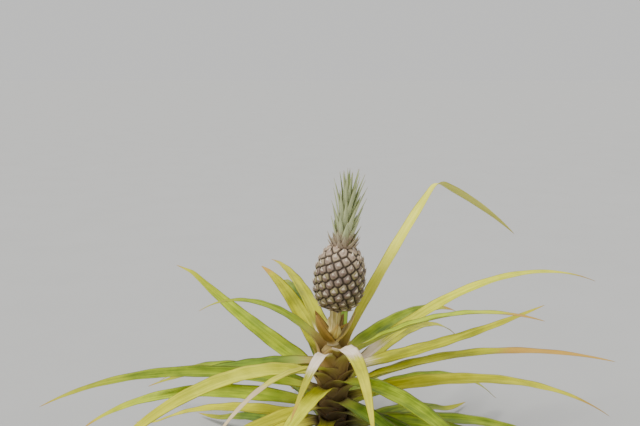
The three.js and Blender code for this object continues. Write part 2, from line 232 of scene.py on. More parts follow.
def leaf_habit(index):
    """How leaf number index grows, by the same rule as its solid."""
    place = FIRST_AZIMUTH + index * GOLDEN_ANGLE
    habit = dict(place=place, azimuth=place + 4 * signed(index, 1), sweep=8 * signed(index, 5),
                 height=lerp(LOWEST_LEAF, HIGHEST_LEAF, index / (LEAF_COUNT - 1)),
                 twist=0, fold=0, fold_at=0.6)
    away = math.sin(math.radians(habit["azimuth"]))
    habit["turn"] = LEAF_TURN * math.cos(math.radians(habit["azimuth"])) + 10 * signed(index, 6)
    if is_dry(index):
        habit["rise"] = lerp(*DRY_LEAF_RISES, index / DRY_LEAF_COUNT) + 5 * signed(index, 2)
        habit["droop"] = 28 + 12 * signed(index, 4)
        habit["length"] = lerp(*DRY_LEAF_LENGTHS, unit(index, 3))
        habit["width"] = DRY_LEAF_WIDTH
    else:
        youth = (index - DRY_LEAF_COUNT) / (LEAF_COUNT - 1 - DRY_LEAF_COUNT)
        front = max(0.0, -away) ** 1.5
        habit["rise"] = lerp(*LEAF_RISES, youth ** 1.9) * (1 - 0.5 * front) + 2 * signed(index, 2)
        habit["droop"] = lerp(*LEAF_DROOPS, math.sin(math.pi * youth)) + 7 * signed(index, 4)
        habit["length"] = lerp(*LEAF_LENGTHS, math.sin(math.pi * (0.08 + 0.82 * youth)))
        habit["length"] *= 1 + 0.07 * signed(index, 3)
        habit["width"] = LEAF_WIDTH
    habit.update(SHOWN_LEAVES.get(index, {}))
    return habit


def leaf_line(habit):
    """A leaf's middle line, as (point, direction ahead, azimuth) from inside the stem to the tip."""
    point = around(math.radians(habit["place"]), LEAF_START_RADIUS, habit["height"])
    stations = []
    step = habit["length"] / BLADE_STEPS
    for k in range(BLADE_STEPS):
        along = (k + 0.5) / BLADE_STEPS
        bent = habit["fold"] * smooth(along, habit["fold_at"] - FOLD_SPAN, habit["fold_at"] + FOLD_SPAN)
        azimuth = math.radians(habit["azimuth"] + habit["sweep"] * along ** 2)
        landing = (GROUND_CLEARANCE - point.z) / LANDING_EASE
        rise = max(landing, math.radians(habit["rise"] - habit["droop"] * along ** 1.6 - bent))
        ahead = direction(azimuth, rise)
        stations.append((point.copy(), ahead, azimuth))
        point += ahead * step
    stations.append((point.copy(), ahead, azimuth))
    return stations


def leaf_half_width(habit, along):
    foot = lerp(0.58, 1, smooth(along, 0, 0.2))
    return habit["width"] / 2 * foot * max(0.0, 1 - along ** 2) ** 0.8


def section(ahead, azimuth, turn):
    """The two directions of a blade's section: to its left and up."""
    left = Matrix.Rotation(turn, 3, ahead) @ Vector((-math.sin(azimuth), math.cos(azimuth), 0))
    return left, ahead.cross(left)


def stem_radius(height):
    for (r0, h0), (r1, h1) in zip(STEM_PROFILE, STEM_PROFILE[1:]):
        if h0 <= height <= h1:
            return lerp(r0, r1, (height - h0) / (h1 - h0))
    return STEM_PROFILE[-1][0]


def blade_ring(line, k, habit, index):
    """Points round a leaf's section at station k, with their values."""
    dry = is_dry(index)
    along = k / BLADE_STEPS
    metres = along * habit["length"]
    point, ahead, azimuth = line[k]
    turn = math.radians(habit["turn"] * smooth(along, 0, 0.3) + habit["twist"] * smooth(along, 0.4, 0.8))
    turn += math.radians((DRY_TIP_TWIST if dry else TIP_TWIST) * signed(index, 10)) * smooth(along, 0.3, 1)
    left, up = section(ahead, azimuth, turn)
    half = leaf_half_width(habit, along)
    if dry:
        half *= 0.86 + 0.14 * math.sin(along * 21 + index)
    channel = lerp(*CHANNEL_DEPTHS, smooth(along, 0, 0.8)) * half * (1.2 if dry else 1)
    wave = EDGE_WAVE * half * math.sin(along * 46 + 5 * index)
    grown = min(1.0, metres / (SHEATH_REACH - LEAF_START_RADIUS))
    sheath = 1 - smooth(grown, 0.2, 1)
    thickness = BLADE_THICKNESS * lerp(*THICKNESS_SHARES, smooth(along)) * (0.5 if dry else 1)
    thickness *= 1 - 0.45 * sheath
    spans = []
    for s in range(BLADE_POINTS):
        across = 2 * s / (BLADE_POINTS - 1) - 1
        lift = channel * abs(across) ** 1.7 + wave * across ** 3 - 0.1 * channel
        middle = point + left * (across * half) + up * lift
        normal = up
        if sheath > 0:
            round_stem = math.radians(habit["place"]) + across * SHEATH_ARC * lerp(1, 0.6, grown)
            climb = SHEATH_RISE * grown + SHEATH_EDGE_RISE * across ** 2
            level = habit["height"] - SHEATH_DROP + climb
            radius = stem_radius(level) + SHEATH_GAP + SHEATH_FLARE * climb
            middle = middle.lerp(around(round_stem, radius, level), sheath)
            normal = up.lerp(-around(round_stem, 1), sheath).normalized()
        half_thick = thickness * (1 - 0.85 * across ** 4) / 2
        spans.append((middle, normal, half_thick, dict(along=along, across=across, metres=metres)))
    return blade_section(spans)


def add_leaf(shape, index, dry_tip):
    habit = leaf_habit(index)
    line = leaf_line(habit)
    rings = [blade_ring(line, k, habit, index) for k in range(BLADE_STEPS)]
    rings.append([(line[-1][0], dict(along=1.0, metres=habit["length"]))])
    age = 1 - index / (LEAF_COUNT - 1)
    pale = PALE_FEET.get(index, PALE_FOOT * smooth(unit(index, 12), 0.3, 0.9) * (1 - age))
    add_tube(shape, rings, seed=unit(index, 7), dry=dry_tip, age=age, pale=pale)


# Materials

def colour(red, green, blue):
    """A picture colour, 0 to 255, as the linear numbers that the shader takes."""
    def linear(c):
        c /= 255
        return c / 12.92 if c <= 0.04045 else ((c + 0.055) / 1.055) ** 2.4
    return linear(red), linear(green), linear(blue), 1.0


class Finish:
    """A material and short ways to add nodes to it. What they take is a number, a colour or a socket."""

    NOISE_ROUGHNESS = 0.55

    def __init__(self, name, specular):
        self.material = bpy.data.materials.new(name)
        self.material.use_nodes = True
        self.tree = self.material.node_tree
        self.shader = self.tree.nodes["Principled BSDF"]
        self.shader.inputs["Specular IOR Level"].default_value = specular

    def put(self, node, key, value):
        if isinstance(value, bpy.types.NodeSocket):
            self.tree.links.new(value, node.inputs[key])
        else:
            node.inputs[key].default_value = value

    def node(self, kind, inputs=None, **settings):
        node = self.tree.nodes.new(kind)
        for name, value in settings.items():
            setattr(node, name, value)
        for key, value in (inputs or {}).items():
            self.put(node, key, value)
        return node

    def value(self, name):
        """A value that each point of the mesh holds."""
        return self.node("ShaderNodeAttribute", attribute_name=name).outputs["Fac"]

    def place(self):
        return self.node("ShaderNodeTexCoord").outputs["Object"]

    def math(self, operation, a, b=0.0, c=0.0):
        return self.node("ShaderNodeMath", {0: a, 1: b, 2: c}, operation=operation).outputs[0]

    def plus(self, a, b):
        return self.math("ADD", a, b)

    def minus(self, a, b):
        return self.math("SUBTRACT", a, b)

    def times(self, a, b):
        return self.math("MULTIPLY", a, b)

    def times_plus(self, a, b, c):
        return self.math("MULTIPLY_ADD", a, b, c)

    def vector(self, x, y, z):
        return self.node("ShaderNodeCombineXYZ", {0: x, 1: y, 2: z}).outputs[0]

    def noise(self, vector, scale, detail=3.0):
        inputs = {"Vector": vector, "Scale": scale, "Detail": detail, "Roughness": self.NOISE_ROUGHNESS}
        return self.node("ShaderNodeTexNoise", inputs).outputs["Fac"]

    def step(self, fac, low, high):
        """0 under low and 1 over high, smoothly."""
        inputs = {"Value": fac, "From Min": low, "From Max": high}
        return self.node("ShaderNodeMapRange", inputs, interpolation_type="SMOOTHSTEP").outputs[0]

    def mix(self, fac, a, b):
        return self.node("ShaderNodeMix", {0: fac, 6: a, 7: b}, data_type="RGBA").outputs[2]

    def coat(self, base, paint, mask, strength):
        """The base with a paint over it, at this strength where the mask is 1."""
        return self.mix(self.times(mask, strength), base, paint)

    def ramp(self, fac, *stops):
        node = self.node("ShaderNodeValToRGB", {"Fac": fac})
        steps = node.color_ramp.elements
        while len(steps) < len(stops):
            steps.new(1.0)
        for step, (position, value) in zip(steps, stops):
            step.position = position
            step.color = value
        return node.outputs["Color"]

    def finish(self, base, roughness, *bumps):
        """Puts colour, roughness and bumps on the shader. A bump is (height, strength, distance)."""
        self.put(self.shader, "Base Color", base)
        self.put(self.shader, "Roughness", roughness)
        normal = None
        for height, strength, distance in bumps:
            inputs = {"Height": height, "Strength": strength, "Distance": distance}
            if normal is not None:
                inputs["Normal"] = normal
            normal = self.node("ShaderNodeBump", inputs).outputs[0]
        if normal is not None:
            self.put(self.shader, "Normal", normal)
        return self.material


def streaks(f, fineness):
    """Noise drawn out along a leaf, which gives its veins."""
    lay = f.vector(f.times(f.value("across"), fineness), f.times(f.value("metres"), 9.0),
                   f.times(f.value("seed"), 40.0))
    return f.noise(lay, 1.0, detail=2.0)


def leaf_material(name, tint, deep, tip=(208, 170, 70)):
    """A green leaf: a foot darkened as painted shade round the stem, the more on older, lower leaves, whose
    feet also brown with age, on some a bleached part after it, a blade with pale veins and darker edges, a
    dry tip, and a scurfy lower side."""
    f = Finish(name, specular=0.2)
    along, metres = f.value("along"), f.value("metres")
    fine, broad = streaks(f, 16.0), streaks(f, 3.0)
    veins = f.step(fine, 0.52, 0.72)
    ragged = f.times(f.minus(fine, 0.5), 0.16)
    patches = f.noise(f.place(), 16.0, detail=4.0)
    shade = f.plus(f.times(broad, 0.6), f.times(patches, 0.6))
    pale = (min(255, tint[0] + 24), min(255, tint[1] + 26), tint[2] + 8)
    blade = f.mix(f.step(shade, 0.42, 0.78), colour(*deep), colour(*tint))
    blade = f.coat(blade, colour(*pale), veins, 0.5)
    # yellowing towards the tip, then a dry end whose share each leaf sets
    ripe = f.step(f.plus(along, f.times(patches, 0.25)), 0.72, 1.18)
    blade = f.coat(blade, colour(214, 203, 48), ripe, 0.65)
    dried = f.step(f.minus(f.plus(along, ragged), f.minus(1.0, f.value("dry"))), -0.02, 0.05)
    shrivelled = colour(0.78 * tip[0], 0.70 * tip[1], 0.66 * tip[2])
    blade = f.mix(dried, blade, f.mix(patches, shrivelled, colour(*tip)))
    scurf = f.times(f.step(f.value("under"), 0.5, 1.0), f.times_plus(fine, 0.6, 0.2))
    blade = f.mix(scurf, blade, colour(222, 218, 140))
    # the foot that clasps the stem, darkened as painted shade, and the paler blade near it
    near = [lerp(a, b, 0.55) for a, b in zip(tint, (204, 202, 100))]
    from_foot = f.plus(metres, f.times(f.minus(fine, 0.5), 0.03))
    blade = f.coat(blade, colour(*near), f.step(from_foot, 0.130, 0.055), 0.75)
    # painted shade: feet olive-brown and darker the older and lower the leaf, for the shade among the bases
    # round the stem; old feet also brown with age
    foot = f.mix(f.step(f.value("age"), 0.05, 0.55), colour(168, 142, 88), colour(92, 77, 56))
    foot = f.coat(foot, colour(120, 90, 60), f.step(fine, 0.5, 0.72), 0.5)
    blade = f.mix(f.step(from_foot, 0.078, 0.030), blade, foot)
    # the bleached part, as far along as each leaf sets
    reach = f.plus(f.minus(f.value("pale"), metres), ragged)
    bleached = f.times(f.step(reach, 0.0, 0.06), f.step(from_foot, 0.045, 0.075))
    white = f.mix(f.step(shade, 0.40, 0.80), colour(236, 216, 184), colour(255, 240, 222))
    white = f.coat(white, colour(218, 192, 156), veins, 0.5)
    blade = f.mix(bleached, blade, white)
    # edges, brown, and darker near the foot as painted shade where the clasping bases overlap
    rim = f.step(f.math("ABSOLUTE", f.value("across")), 0.9, 1.0)
    strength = f.times_plus(f.step(from_foot, 0.09, 0.04), 0.4, 0.45)
    blade = f.coat(blade, colour(142, 98, 66), rim, strength)
    return f.finish(blade, f.times_plus(patches, 0.3, 0.36), (fine, 0.35, 0.0010), (patches, 0.2, 0.0012))


def dry_leaf_material():
    f = Finish("dry_leaf", specular=0.2)
    fine, broad = streaks(f, 12.0), streaks(f, 2.5)
    patches = f.noise(f.place(), 22.0, detail=5.0)
    base = f.ramp(f.plus(f.times(broad, 0.5), f.times(patches, 0.5)),
                  (0.30, colour(120, 94, 64)), (0.46, colour(176, 146, 98)),
                  (0.60, colour(208, 182, 130)), (0.8, colour(222, 204, 164)))
    base = f.coat(base, colour(148, 116, 78), f.step(fine, 0.5, 0.7), 0.35)
    return f.finish(base, f.times_plus(patches, 0.2, 0.72), (fine, 0.6, 0.0015), (patches, 0.5, 0.002))


# A blade's tint, its deeper patches and, where it isn't the usual one, its dry tip
LEAF_TINTS = {
    "bright": ((250, 248, 96), (220, 222, 66)),
    "pale": ((226, 228, 58), (184, 189, 30)),
    "straw": ((214, 212, 64), (176, 176, 40), (236, 220, 176)),
    "olive": ((186, 187, 30), (132, 135, 18)),
    "yellow": ((216, 213, 34), (174, 174, 20)),
    "lime": ((186, 204, 34), (128, 152, 20)),
    "green": ((150, 170, 28), (88, 112, 16)),
    "deep": ((116, 142, 34), (64, 90, 20)),
}
leaf_finishes = {name: leaf_material("leaf_" + name, *tints) for name, tints in LEAF_TINTS.items()}
dry_finish = dry_leaf_material()

# The tint and the dry share of the tip of the leaves that stand out
SHOWN_TINTS = {31: ("deep", 0.05), 34: ("olive", 0.36), 36: ("pale", 0.04), 37: ("pale", 0.10),
               38: ("lime", 0.05), 41: ("pale", 0.05), 42: ("olive", 0.04), 43: ("olive", 0.16),
               44: ("straw", 0.42), 46: ("deep", 0.06), 48: ("olive", 0.10), 49: ("olive", 0.10),
               50: ("bright", 0.04), 51: ("green", 0.05), 52: ("yellow", 0.05)}
OTHER_TINTS = ("deep", "green", "olive", "green", "lime", "yellow")


def leaf_look(index):
    """A leaf's tint and the dry share of its tip."""
    if index in SHOWN_TINTS:
        return SHOWN_TINTS[index]
    return OTHER_TINTS[int(unit(index, 8) * len(OTHER_TINTS))], 0.03 + 0.14 * unit(index, 9) ** 2


for index in range(LEAF_COUNT):
    dry = is_dry(index)
    name = ("dry_leaf_%02d" if dry else "leaf_%02d") % (index + 1)
    tint, dry_tip = leaf_look(index)
    shape = Shape()
    add_leaf(shape, index, dry_tip)
    piece = shape.make(name + "_blade", dry_finish if dry else leaf_finishes[tint])
    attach(piece, "root")
    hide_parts(*[n for n in (name, name + "_end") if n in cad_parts])


# Stem: scars of lost leaves, and their broken bases near the ground

STEM_SIDES, STEM_ROWS = 72, 140
SCAR_PITCH = 0.0085        # from one scar to the next, up the stem
SCAR_DEPTH = 0.0009
BARK_RIPPLE = 0.0005
BARK_INSET = 0.0008        # of the bark's mean from the solid's outline
OLD_BASE_COUNT = 17
OLD_BASE_ROWS, OLD_BASE_POINTS = 12, 13
OLD_BASE_FEET = 0.003, 0.040      # heights of the lowest and the highest
OLD_BASE_LENGTHS = 0.024, 0.040   # of the shortest and the longest
OLD_BASE_ARC = math.radians(70)
OLD_BASE_GAP = 0.0008
OLD_BASE_FLARE = 0.20
OLD_BASE_RIPPLE = 0.0006
OLD_BASE_HALF_THICK = 0.0011


def add_stem(shape):
    rings = []
    for r in range(STEM_ROWS + 1):
        height = STEM_HEIGHT * r / STEM_ROWS
        ring = []
        for s, turn in enumerate(turns_round(STEM_SIDES)):
            scar = math.sin(2 * math.pi * height / SCAR_PITCH + 3 * turn)
            ripple = math.sin(9 * turn + 160 * height)
            radius = stem_radius(height) - BARK_INSET + SCAR_DEPTH * scar + BARK_RIPPLE * ripple
            values = dict(along=height / STEM_HEIGHT, across=scar, metres=height, seed=s / STEM_SIDES)
            ring.append((around(turn, radius, height), values))
        rings.append(ring)
    add_tube(shape, rings)


def add_old_base(shape, n):
    """The clasping foot that is left of a leaf lost from the lowest part of the stem."""
    place = math.radians(FIRST_AZIMUTH + (n - OLD_BASE_COUNT) * GOLDEN_ANGLE)
    foot = lerp(*OLD_BASE_FEET, n / OLD_BASE_COUNT)
    length = lerp(*OLD_BASE_LENGTHS, unit(n, 31))
    rings = []
    for r in range(OLD_BASE_ROWS + 1):
        up = r / OLD_BASE_ROWS
        spans = []
        for q in range(OLD_BASE_POINTS):
            across = 2 * q / (OLD_BASE_POINTS - 1) - 1
            torn = 1 - 0.35 * unit(n * 40 + q, 32) * smooth(up, 0.6, 1) - 0.25 * across ** 2 * up
            turn = place + across * OLD_BASE_ARC * lerp(1, 0.72, up)
            level = foot + length * up * torn
            radius = stem_radius(level) + OLD_BASE_GAP + OLD_BASE_FLARE * length * up * torn
            radius += OLD_BASE_RIPPLE * math.sin(9 * across + n)
            half_thick = OLD_BASE_HALF_THICK * (1 - 0.7 * across ** 4) * lerp(1, 0.5, up)
            outward = around(turn, 1)
            middle = outward * radius + Vector((0, 0, level))
            spans.append((middle, outward, half_thick, dict(across=across, metres=length * up)))
        rings.append(blade_section(spans, sharp=False))
    add_tube(shape, rings, seed=unit(n, 33))


def stem_material():
    """Bark, dark in the scars and paler towards the top. Its seed runs once round the stem."""
    f = Finish("stem", specular=0.2)
    lay = f.vector(f.times(f.value("seed"), 60.0), f.times(f.value("metres"), 60.0), 0.0)
    fibres = f.noise(lay, 1.0, detail=4.0)
    patches = f.noise(f.place(), 45.0, detail=5.0)
    base = f.ramp(f.times_plus(fibres, 0.55, f.times(patches, 0.45)),
                  (0.32, colour(52, 38, 30)), (0.5, colour(98, 76, 56)),
                  (0.64, colour(142, 116, 86)), (0.8, colour(176, 152, 120)))
    base = f.coat(base, colour(48, 36, 30), f.step(f.value("across"), 0.0, -1.0), 0.6)
    young = f.mix(fibres, colour(138, 118, 70), colour(178, 158, 104))
    base = f.mix(f.step(f.value("along"), 0.70, 0.90), base, young)
    return f.finish(base, f.times_plus(patches, 0.2, 0.75), (fibres, 0.6, 0.002), (patches, 0.5, 0.002))


stem_shape = Shape()
add_stem(stem_shape)
stem_piece = stem_shape.make("stem_bark", stem_material())
base_shape = Shape()
for n in range(OLD_BASE_COUNT):
    add_old_base(base_shape, n)
old_bases = base_shape.make("old_leaf_bases", dry_finish)
for piece in (stem_piece, old_bases):
    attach(piece, "root")
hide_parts("stem")


# Small stiff blades, on the stalk and in the crown

SMALL_BLADE_THICKNESS = 0.0016
STIFF_SHARE = 0.125        # of a small blade's length, before it starts to bend
WRAP = 1.25                # how much further round its axis a foot wraps than its width would


def add_small_blade(shape, start, azimuth, rise, droop, length, width, hug, hug_radius,
                    thickness=SMALL_BLADE_THICKNESS, steps=20, points=7, twist=0.0, cup=0.42, narrow=1.7,
                    **values):
    """A blade by the rule of the solids' small blades. Its foot wraps an axis at hug_radius as far as
    hug says."""
    turn = math.radians(azimuth)
    point = start.copy()
    outwards = around(turn, 1)
    sidewards = Vector((-math.sin(turn), math.cos(turn), 0))
    rings = []
    for k in range(steps):
        along = k / steps
        ahead = direction(turn, math.radians(rise - droop * max(0.0, along - STIFF_SHARE)))
        left, up = section(ahead, turn, twist * along ** 1.5)
        half = width / 2 * (1 - along ** narrow) ** 0.9
        clasp = hug * (1 - smooth(along, 0, 0.3))
        spans = []
        for q in range(points):
            across = 2 * q / (points - 1) - 1
            middle = point + left * (across * half) + up * (cup * half * abs(across) ** 1.8)
            normal = up
            if clasp > 0:
                bend = across * half / hug_radius * WRAP
                wrapped = (sidewards * (hug_radius * math.sin(bend))
                           - outwards * (hug_radius * (1 - math.cos(bend))))
                middle = middle.lerp(point + wrapped, clasp)
                inwards = -outwards * math.cos(bend) - sidewards * math.sin(bend)
                normal = up.lerp(inwards, clasp).normalized()
            half_thick = thickness * lerp(1, 0.45, along) * (1 - 0.85 * across ** 4) / 2
            values_here = dict(along=along, across=across, metres=along * length)
            spans.append((middle, normal, half_thick, values_here))
        rings.append(blade_section(spans))
        point = point + ahead * (length / steps)
    rings.append([(point, dict(along=1.0, metres=length))])
    add_tube(shape, rings, **values)


# Stalk and its bracts

STALK_SIDES, STALK_ROWS = 40, 60
STALK_FLARE = 0.18         # share of its radius, at both ends
STALK_RIB = 0.0003
# Of the lowest bract and of the highest
BRACT_PLACES = 0.04, 0.62  # share of the way up the stalk
BRACT_RISES = 46, 40
BRACT_DROOPS = -44, 0
BRACT_LENGTHS = 0.098, 0.026
BRACT_WIDTHS = 0.046, 0.020

stalk_foot = Vector((0, 0, STEM_HEIGHT + CLEARANCE))
stalk_bend = Vector((0, 0, STALK_BEND_HEIGHT))
lean_ahead = Vector((math.sin(LEAN), 0, math.cos(LEAN)))
stalk_top = stalk_bend + lean_ahead * STALK_UPPER_LENGTH


def stalk_point(share):
    return stalk_foot * (1 - share) ** 2 + stalk_bend * (2 * share * (1 - share)) + stalk_top * share ** 2


def add_stalk(shape):
    back = Vector((0, 1, 0))
    rings = []
    for r in range(STALK_ROWS + 1):
        share = r / STALK_ROWS
        ahead = ((stalk_bend - stalk_foot) * (1 - share) + (stalk_top - stalk_bend) * share).normalized()
        side = back.cross(ahead)
        wide = STALK_RADIUS * (1 + STALK_FLARE * (2 * share - 1) ** 2)
        ring = []
        for s, turn in enumerate(turns_round(STALK_SIDES)):
            radius = wide + STALK_RIB * math.sin(7 * turn + 9 * share)
            at = stalk_point(share) + side * (radius * math.cos(turn)) + back * (radius * math.sin(turn))
            ring.append((at, dict(along=share, seed=s / STALK_SIDES)))
        rings.append(ring)
    add_tube(shape, rings)


def add_bract(shape, n):
    up = n / (BRACT_COUNT - 1)
    azimuth = FIRST_BRACT_AZIMUTH + n * GOLDEN_ANGLE
    inside = around(math.radians(azimuth), 1) * (STALK_RADIUS * 0.95)
    add_small_blade(
        shape, stalk_point(lerp(*BRACT_PLACES, up)) + inside, azimuth, rise=lerp(*BRACT_RISES, up),
        droop=lerp(*BRACT_DROOPS, up) + 5 * signed(n, 11), length=lerp(*BRACT_LENGTHS, up),
        width=lerp(*BRACT_WIDTHS, up), hug=1.0, hug_radius=STALK_RADIUS, twist=0.5 * signed(n, 12),
        narrow=2.4, seed=n % 2)


def bract_material():
    """Tan bracts where the seed is 0 and pale yellow ones where it is 1, drying orange at the tip."""
    f = Finish("stalk_bract", specular=0.35)
    fine, broad = streaks(f, 8.0), streaks(f, 2.0)
    along = f.value("along")
    shade = f.step(broad, 0.4, 0.65)
    tan = f.mix(shade, colour(136, 108, 46), colour(172, 142, 70))
    yellow = f.mix(shade, colour(206, 184, 110), colour(232, 216, 152))
    base = f.mix(f.step(f.value("seed"), 0.45, 0.55), tan, yellow)
    tip = f.step(f.plus(along, f.times(fine, 0.3)), 0.7, 1.2)
    base = f.coat(base, colour(172, 132, 72), tip, 0.8)
    base = f.mix(f.step(along, 0.2, 0.0), base, colour(230, 214, 170))
    base = f.coat(base, colour(138, 108, 58), f.step(fine, 0.5, 0.7), 0.3)
    return f.finish(base, f.times_plus(fine, 0.25, 0.45), (fine, 0.5, 0.001))


def stalk_material():
    """Pale ribbed flesh. Its seed runs once round the stalk."""
    f = Finish("stalk", specular=0.35)
    along = f.value("along")
    ribs = f.noise(f.vector(f.times(f.value("seed"), 22.0), f.times(along, 3.0), 0.0), 1.0)
    base = f.mix(f.step(ribs, 0.38, 0.66), colour(184, 168, 100), colour(234, 220, 158))
    base = f.mix(f.step(along, 0.35, 0.0), base, colour(220, 205, 170))
    return f.finish(base, 0.6, (ribs, 0.5, 0.0015))


stalk_shape = Shape()
add_stalk(stalk_shape)
stalk_piece = stalk_shape.make("stalk_flesh", stalk_material())
bract_shape = Shape()
for n in range(BRACT_COUNT):
    add_bract(bract_shape, n)
bracts = bract_shape.make("stalk_bracts", bract_material())
for piece in (stalk_piece, bracts):
    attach(piece, "root")
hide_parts("stalk")


# Fruit, in its own frame: its foot at the origin and its axis along +Z

FRUIT_PLACE = (Matrix.Translation(stalk_top) @ Matrix.Rotation(LEAN, 4, "Y")
               @ Matrix.Translation((0, 0, CLEARANCE)))
CROWN_PLACE = FRUIT_PLACE @ Matrix.Translation((0, 0, FRUIT_HEIGHT + CLEARANCE))
AREA_SLICES = 240
SLOPE_STEP = 0.01          # share of the height
SKIN_AROUND = 288
SKIN_ROWS = 150
SKIN_CURVE = 0.08          # radius of the skin's curve up and down
LEAST_CURVE = 0.03         # the least radius of its curve round the fruit
GROOVE_HALF = 0.0042       # from a groove's bottom to where the rind has its height
GROOVE_SHADE = 0.005       # from a groove's bottom to where the value across is 1
EYE_HALF = 0.0105          # half the distance between the middles of two eyes
EYE_DOME = 0.0012
EYE_SWELL = 0.0014
PIT_DEPTH = 0.0020
PIT_HALF = 0.0026
SCALE_ROWS, SCALE_POINTS = 12, 9
SCALE_HALF_WIDTH = 0.0074
SCALE_FOOT = 0.0088        # how far below an eye's middle its scale starts
SCALE_LENGTH = 0.0150
SCALE_TOP_LENGTH = 0.0075  # more of it near the fruit's top
SCALE_LEAN = 0.0016        # sidewards at the tip, at most
SCALE_GAP = 0.0010
SCALE_BULGE = 0.0016
SCALE_TIP_LIFT = 0.0034
SCALE_EDGE_DROP = 0.0006
SCALE_EDGE_RISE = 0.0014
SCALE_KEEL = 0.0011
SCALE_HALF_THICK = 0.00045
SCALE_POINT_LENGTH = 0.002 # of its last point beyond the rest
SCALE_POINT_LIFT = 0.0062
FLORET_SIDES, FLORET_ROWS = 7, 5
FLORET_RADIUS = 0.0017
FLORET_HEIGHT = 0.0042
FLORET_RISE = 0.0012       # from the eye's middle up the skin
FLORET_BEND = 0.0010


def fruit_radius(share):
    reach = FRUIT_REACH_DOWN if share < FRUIT_WIDEST else FRUIT_REACH_UP
    off = abs(share - FRUIT_WIDEST) / reach
    return FRUIT_RADIUS * max(0.0, 1 - off ** 2.5) ** 0.5


def skin_tilt(share):
    """The direction out of the skin, as its parts away from the axis and up it."""
    low, high = max(0.0, share - SLOPE_STEP), min(1.0, share + SLOPE_STEP)
    slope = (fruit_radius(high) - fruit_radius(low)) / (2 * SLOPE_STEP)
    return Vector((FRUIT_HEIGHT, -slope)).normalized()


slice_radii = np.array([fruit_radius(k / AREA_SLICES) for k in range(AREA_SLICES + 1)])
slice_arcs = np.hypot(np.diff(slice_radii), FRUIT_HEIGHT / AREA_SLICES)
area_below = np.concatenate([[0], np.cumsum((slice_radii[1:] + slice_radii[:-1]) / 2 * slice_arcs)])
arc_below = np.concatenate([[0], np.cumsum(slice_arcs)])
slice_shares = np.linspace(0, 1, AREA_SLICES + 1)


class Eye:
    """One eye of the fruit: its middle and its directions out of the skin, up along it and sidewards."""

    def __init__(self, n):
        share = float(np.interp((n + 0.5) / EYE_COUNT * area_below[-1], area_below, slice_shares))
        tilt = skin_tilt(share)
        turn = math.radians(n * GOLDEN_ANGLE)
        self.share = share
        self.radius = fruit_radius(share)
        self.middle = around(turn, self.radius, share * FRUIT_HEIGHT)
        self.out = Vector((math.cos(turn) * tilt.x, math.sin(turn) * tilt.x, tilt.y))
        self.up = Vector((-math.cos(turn) * tilt.y, -math.sin(turn) * tilt.y, tilt.x))
        self.side = self.up.cross(self.out)

    def at(self, side, up, lift):
        """A point this far from the middle along the skin and lifted off it."""
        sink = side ** 2 / (2 * max(self.radius, LEAST_CURVE)) + up ** 2 / (2 * SKIN_CURVE)
        return self.middle + self.side * side + self.up * up + self.out * (lift - sink)


eyes = [Eye(n) for n in range(EYE_COUNT)]


def add_skin(shape):
    """The rind: low domes with a pit in each, parted by grooves where two eyes are equally far. Its
    values are the distances from an eye's middle and from a groove, and the share of the height."""
    centres = np.array([tuple(eye.middle) for eye in eyes])
    turns = 2 * np.pi * np.arange(SKIN_AROUND) / SKIN_AROUND
    rings = []
    for arc in np.linspace(0, arc_below[-1], SKIN_ROWS + 1):
        share = float(np.interp(arc, arc_below, slice_shares))
        radius = fruit_radius(share)
        tilt = skin_tilt(share)
        levels = np.full(SKIN_AROUND, share * FRUIT_HEIGHT)
        places = np.stack([radius * np.cos(turns), radius * np.sin(turns), levels], 1)
        gaps = np.linalg.norm(places[:, None, :] - centres[None, :, :], axis=2)
        order = np.argsort(gaps, axis=1)
        first = np.take_along_axis(gaps, order[:, :1], 1)[:, 0]
        second = np.take_along_axis(gaps, order[:, 1:2], 1)[:, 0]
        ring = []
        for s, turn in enumerate(turns):
            to_groove = (second[s] - first[s]) / 2
            off = min(1.0, first[s] / EYE_HALF)
            lift = -EYE_GROOVE + (EYE_GROOVE + EYE_DOME) * smooth(to_groove, 0, GROOVE_HALF)
            lift += EYE_SWELL * (1 - off ** 2) - PIT_DEPTH * math.exp(-(first[s] / PIT_HALF) ** 2)
            at = (float(places[s, 0] + math.cos(turn) * tilt.x * lift),
                  float(places[s, 1] + math.sin(turn) * tilt.x * lift),
                  float(places[s, 2] + tilt.y * lift))
            ring.append((at, dict(along=off, across=min(1.0, to_groove / GROOVE_SHADE), metres=share,
                                  seed=unit(int(order[s, 0]), 41))))
        rings.append(ring)
    add_tube(shape, rings)


